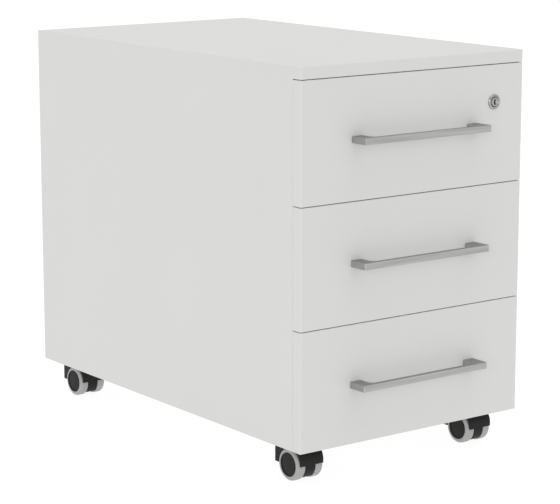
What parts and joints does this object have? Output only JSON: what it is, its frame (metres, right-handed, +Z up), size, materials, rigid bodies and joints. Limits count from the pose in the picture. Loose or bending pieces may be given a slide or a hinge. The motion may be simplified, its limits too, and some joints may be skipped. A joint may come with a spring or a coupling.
{
  "type": "mobile drawer pedestal",
  "caption": "Low steel office pedestal on twin-wheel castors: equal full-width lockable drawers on full-extension runners, with flat bow handles.",
  "frame": {"origin": "on the floor, under the middle of the whole object, handles included", "axes": "+X to the right when facing the drawers, -Y to the front, +Z up"},
  "size_m": [0.43, 0.768, 0.63],
  "materials": {
    "painted_steel": "light grey powder coat, fine texture, low sheen",
    "satin_metal": "satin, fine grain along the bar",
    "zinc": "bright zinc plated",
    "nickel": "polished nickel",
    "black_plastic": "black moulded nylon",
    "grey_tread": "soft grey tread",
    "buffer_rubber": "matt grey pads"
  },
  "bodies": {
    "carcass": {"shell": "painted_steel", "back_panel": "painted_steel", "back_screws": "zinc", "base_panel": "painted_steel", "castor_channels": "painted_steel", "uprights": "painted_steel", "cabinet_runners": "zinc", "buffers": "buffer_rubber", "lock_bar_guides": "black_plastic", "castor_plates": "zinc", "castor_screws": "zinc"},
    "bottom_drawer": {"bottom_drawer_front": "painted_steel", "bottom_drawer_front_liner": "painted_steel", "bottom_drawer_handle": "satin_metal", "bottom_drawer_screws": "zinc", "bottom_drawer_tray": "painted_steel", "bottom_drawer_runners": "zinc"},
    "bottom_mid": {"bottom_mid_runners": "zinc"},
    "middle_drawer": {"middle_drawer_front": "painted_steel", "middle_drawer_front_liner": "painted_steel", "middle_drawer_handle": "satin_metal", "middle_drawer_screws": "zinc", "middle_drawer_tray": "painted_steel", "middle_drawer_runners": "zinc"},
    "middle_mid": {"middle_mid_runners": "zinc"},
    "top_drawer": {"top_drawer_front": "painted_steel", "top_drawer_front_liner": "painted_steel", "top_drawer_handle": "satin_metal", "top_drawer_screws": "zinc", "top_drawer_tray": "painted_steel", "top_drawer_runners": "zinc", "lock_housing": "nickel"},
    "top_mid": {"top_mid_runners": "zinc"},
    "lock_core": {"lock_core": "nickel", "lock_cam": "zinc"},
    "lock_bar": {"lock_bar": "zinc"},
    "front_left_castor": {"front_left_castor_hood": "black_plastic", "front_left_castor_axle": "zinc"},
    "front_left_left_wheel": {"front_left_castor_left_hub": "black_plastic", "front_left_castor_left_tread": "grey_tread"},
    "front_left_right_wheel": {"front_left_castor_right_hub": "black_plastic", "front_left_castor_right_tread": "grey_tread"},
    "front_right_castor": {"front_right_castor_hood": "black_plastic", "front_right_castor_axle": "zinc"},
    "front_right_left_wheel": {"front_right_castor_left_hub": "black_plastic", "front_right_castor_left_tread": "grey_tread"},
    "front_right_right_wheel": {"front_right_castor_right_hub": "black_plastic", "front_right_castor_right_tread": "grey_tread"},
    "rear_left_castor": {"rear_left_castor_hood": "black_plastic", "rear_left_castor_axle": "zinc"},
    "rear_left_left_wheel": {"rear_left_castor_left_hub": "black_plastic", "rear_left_castor_left_tread": "grey_tread"},
    "rear_left_right_wheel": {"rear_left_castor_right_hub": "black_plastic", "rear_left_castor_right_tread": "grey_tread"},
    "rear_right_castor": {"rear_right_castor_hood": "black_plastic", "rear_right_castor_axle": "zinc"},
    "rear_right_left_wheel": {"rear_right_castor_left_hub": "black_plastic", "rear_right_castor_left_tread": "grey_tread"},
    "rear_right_right_wheel": {"rear_right_castor_right_hub": "black_plastic", "rear_right_castor_right_tread": "grey_tread"}
  },
  "joints": [
    {"name": "bottom_drawer_slide", "type": "slide", "parent": "carcass", "child": "bottom_drawer", "axis": [0, -1, 0], "range_m": [0, 0.6]},
    {"name": "bottom_mid_slide", "type": "slide", "parent": "carcass", "child": "bottom_mid", "axis": [0, -1, 0], "range_m": [0, 0.3]},
    {"name": "middle_drawer_slide", "type": "slide", "parent": "carcass", "child": "middle_drawer", "axis": [0, -1, 0], "range_m": [0, 0.6]},
    {"name": "middle_mid_slide", "type": "slide", "parent": "carcass", "child": "middle_mid", "axis": [0, -1, 0], "range_m": [0, 0.3]},
    {"name": "top_drawer_slide", "type": "slide", "parent": "carcass", "child": "top_drawer", "axis": [0, -1, 0], "range_m": [0, 0.6]},
    {"name": "top_mid_slide", "type": "slide", "parent": "carcass", "child": "top_mid", "axis": [0, -1, 0], "range_m": [0, 0.3]},
    {"name": "lock_turn", "type": "hinge", "parent": "top_drawer", "child": "lock_core", "pos_m": [0.156, -0.351, 0.553], "axis": [0, -1, 0], "range_deg": [0, 90]},
    {"name": "lock_bar_lift", "type": "slide", "parent": "carcass", "child": "lock_bar", "axis": [0, 0, 1], "range_m": [0, 0.0113]},
    {"name": "front_left_castor_swivel", "type": "hinge", "parent": "carcass", "child": "front_left_castor", "pos_m": [-0.169, -0.277, 0.058], "axis": [0, 0, 1], "continuous": true},
    {"name": "front_left_left_wheel_roll", "type": "hinge", "parent": "front_left_castor", "child": "front_left_left_wheel", "pos_m": [-0.169, -0.292, 0.025], "axis": [1, 0, 0], "continuous": true},
    {"name": "front_left_right_wheel_roll", "type": "hinge", "parent": "front_left_castor", "child": "front_left_right_wheel", "pos_m": [-0.169, -0.292, 0.025], "axis": [1, 0, 0], "continuous": true},
    {"name": "front_right_castor_swivel", "type": "hinge", "parent": "carcass", "child": "front_right_castor", "pos_m": [0.169, -0.277, 0.058], "axis": [0, 0, 1], "continuous": true},
    {"name": "front_right_left_wheel_roll", "type": "hinge", "parent": "front_right_castor", "child": "front_right_left_wheel", "pos_m": [0.169, -0.292, 0.025], "axis": [1, 0, 0], "continuous": true},
    {"name": "front_right_right_wheel_roll", "type": "hinge", "parent": "front_right_castor", "child": "front_right_right_wheel", "pos_m": [0.169, -0.292, 0.025], "axis": [1, 0, 0], "continuous": true},
    {"name": "rear_left_castor_swivel", "type": "hinge", "parent": "carcass", "child": "rear_left_castor", "pos_m": [-0.169, 0.341, 0.058], "axis": [0, 0, 1], "continuous": true},
    {"name": "rear_left_left_wheel_roll", "type": "hinge", "parent": "rear_left_castor", "child": "rear_left_left_wheel", "pos_m": [-0.169, 0.326, 0.025], "axis": [1, 0, 0], "continuous": true},
    {"name": "rear_left_right_wheel_roll", "type": "hinge", "parent": "rear_left_castor", "child": "rear_left_right_wheel", "pos_m": [-0.169, 0.326, 0.025], "axis": [1, 0, 0], "continuous": true},
    {"name": "rear_right_castor_swivel", "type": "hinge", "parent": "carcass", "child": "rear_right_castor", "pos_m": [0.169, 0.341, 0.058], "axis": [0, 0, 1], "continuous": true},
    {"name": "rear_right_left_wheel_roll", "type": "hinge", "parent": "rear_right_castor", "child": "rear_right_left_wheel", "pos_m": [0.169, 0.326, 0.025], "axis": [1, 0, 0], "continuous": true},
    {"name": "rear_right_right_wheel_roll", "type": "hinge", "parent": "rear_right_castor", "child": "rear_right_right_wheel", "pos_m": [0.169, 0.326, 0.025], "axis": [1, 0, 0], "continuous": true}
  ],
  "couplings": [
    {"joint": "bottom_mid_slide", "follows": "bottom_drawer_slide", "ratio": 0.5},
    {"joint": "middle_mid_slide", "follows": "middle_drawer_slide", "ratio": 0.5},
    {"joint": "top_mid_slide", "follows": "top_drawer_slide", "ratio": 0.5},
    {"joint": "lock_turn", "follows": "lock_bar_lift", "rad_per_m": 139}
  ]
}
